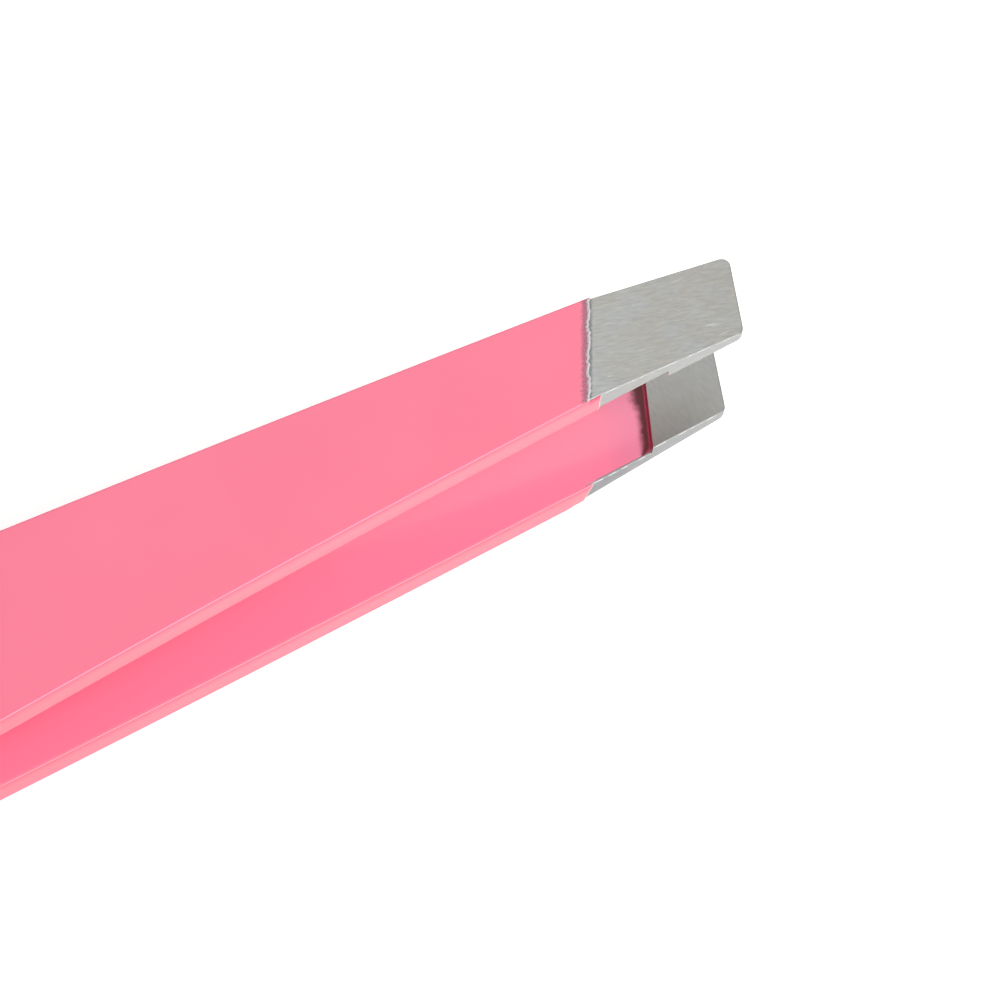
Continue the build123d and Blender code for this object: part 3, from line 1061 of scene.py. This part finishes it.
# Painted shade on the inner coat's edges beside the bare sides.
colour = laid_over(tree, colour, COAT_EDGE_SHADE, attribute(tree, "shaded_coat_edge"), amount=0.8)
tree.links.new(colour, shader.inputs["Base Color"])
# Roughness: matte where the coat is chipped and where the shade band is painted.
chip_and_shade_matte = math(tree, "MAXIMUM", chipped, times(tree, dust, 0.6))
tree.links.new(value_from(tree, chip_and_shade_matte, low=0.30, high=0.75), shader.inputs["Roughness"])
gloss = value_from(tree, math(tree, "MAXIMUM", chipped, dust), low=0.5, high=0.0)
tree.links.new(gloss, shader.inputs["Coat Weight"])
shader.inputs["Coat Roughness"].default_value = 0.10
bump(tree, shader, noise(tree, rest, scale=1.6, detail=2.0), strength=0.25, distance=0.00001)
for piece in coats.values():
    piece.data.materials.append(coat)
print(coat.name, "has", len(tree.nodes), "nodes")

# %% [markdown]
# ## Floor, light and camera
# The tool lies on a pale floor that glows a little, so it looks bright and its shadow stays faint. A
# ground strip only looks like steel when it has something to reflect. A broad soft light stands in
# front, where the narrow sides and rounded edges face it, a weaker one beside it lights the tip's
# edges, and a large dim panel behind gives the facet its even grey. A pale world fills the rest.

# %% Floor
FLOOR_HALF = 1.5
FLOOR_TONES = (0.81, 0.81, 0.80), (0.83, 0.83, 0.82)
FLOOR_GLOW, FLOOR_GLOW_STRENGTH = (1, 0.985, 0.965, 1), 0.42

floor_z = cad_box[0][2]
corners = np.array([(-1, -1), (1, -1), (1, 1), (-1, 1)]) * FLOOR_HALF
floor_mesh = bpy.data.meshes.new("floor")
floor_mesh.from_pydata([(x, y, floor_z) for x, y in corners.tolist()], [], [(0, 1, 2, 3)])
floor = bpy.data.objects.new("floor", floor_mesh)
bpy.context.scene.collection.objects.link(floor)
floor_finish, tree, shader = new_material("pale_floor")
mottle = noise(tree, add_node(tree, "TexCoord").outputs["Object"], scale=30.0, detail=3.0)
tree.links.new(mix_colour(tree, mottle, *FLOOR_TONES), shader.inputs["Base Color"])
shader.inputs["Roughness"].default_value = 0.9
shader.inputs["Emission Color"].default_value = FLOOR_GLOW
shader.inputs["Emission Strength"].default_value = FLOOR_GLOW_STRENGTH
floor_mesh.materials.append(floor_finish)
print("floor at", round(floor_z / MM, 2), "mm")

# %% Light
WORLD_LIGHT = 0.34
world = bpy.data.worlds.new("soft_studio")
world.use_nodes = True
world.node_tree.nodes["Background"].inputs["Color"].default_value = (1, 1, 1, 1)
world.node_tree.nodes["Background"].inputs["Strength"].default_value = WORLD_LIGHT
bpy.context.scene.world = world
bpy.context.scene.view_settings.view_transform = "Standard"


def soft_light(name, direction, distance, size, radiance):
    """A square area light that faces the origin. Its power is radiance times area times pi."""
    light = bpy.data.lights.new(name, "AREA")
    light.shape = "SQUARE"
    light.size = size
    light.energy = radiance * size**2 * np.pi
    lamp = bpy.data.objects.new(name, light)
    away = Vector(direction).normalized()
    facing = away.to_track_quat("Z", "Y").to_matrix().to_4x4()
    lamp.matrix_world = Matrix.Translation(away * distance) @ facing
    bpy.context.scene.collection.objects.link(lamp)
    print(name, "power", round(light.energy, 3), "W")


soft_light("key_softbox", (-0.15, -0.66, 0.72), distance=0.6, size=0.35, radiance=5.0)
soft_light("edge_softbox", (0.42, -0.60, 0.66), distance=0.4, size=0.4, radiance=1.7)
soft_light("back_panel", (0.42, 0.50, 0.76), distance=0.8, size=0.55, radiance=1.0)

# %% Camera
AZIMUTH, ELEVATION, ROLL = 40.96, 49.77, 8.811
DISTANCE, LENS, SENSOR, NEAREST = 0.180, 114.9408, 36.0, 0.01
AIM = Vector((0.027426, -0.003827, 0.0))

turn, rise, roll = radians(AZIMUTH), radians(ELEVATION), radians(ROLL)
look = Vector((sin(turn) * cos(rise), cos(turn) * cos(rise), -sin(rise)))
right = Vector((cos(turn), -sin(turn), 0))
up = right.cross(look)
camera_right = right * cos(roll) + up * sin(roll)
camera_up = up * cos(roll) - right * sin(roll)
camera_data = bpy.data.cameras.new("camera")
camera_data.sensor_width = SENSOR
camera_data.lens = LENS
camera_data.clip_start = NEAREST
camera = bpy.data.objects.new("camera", camera_data)
camera.matrix_world = Matrix.Translation(AIM - look * DISTANCE) @ Matrix(
    (camera_right, camera_up, -look)
).transposed().to_4x4()
bpy.context.scene.collection.objects.link(camera)
bpy.context.scene.camera = camera
print("lens", round(camera_data.lens, 1), "mm")
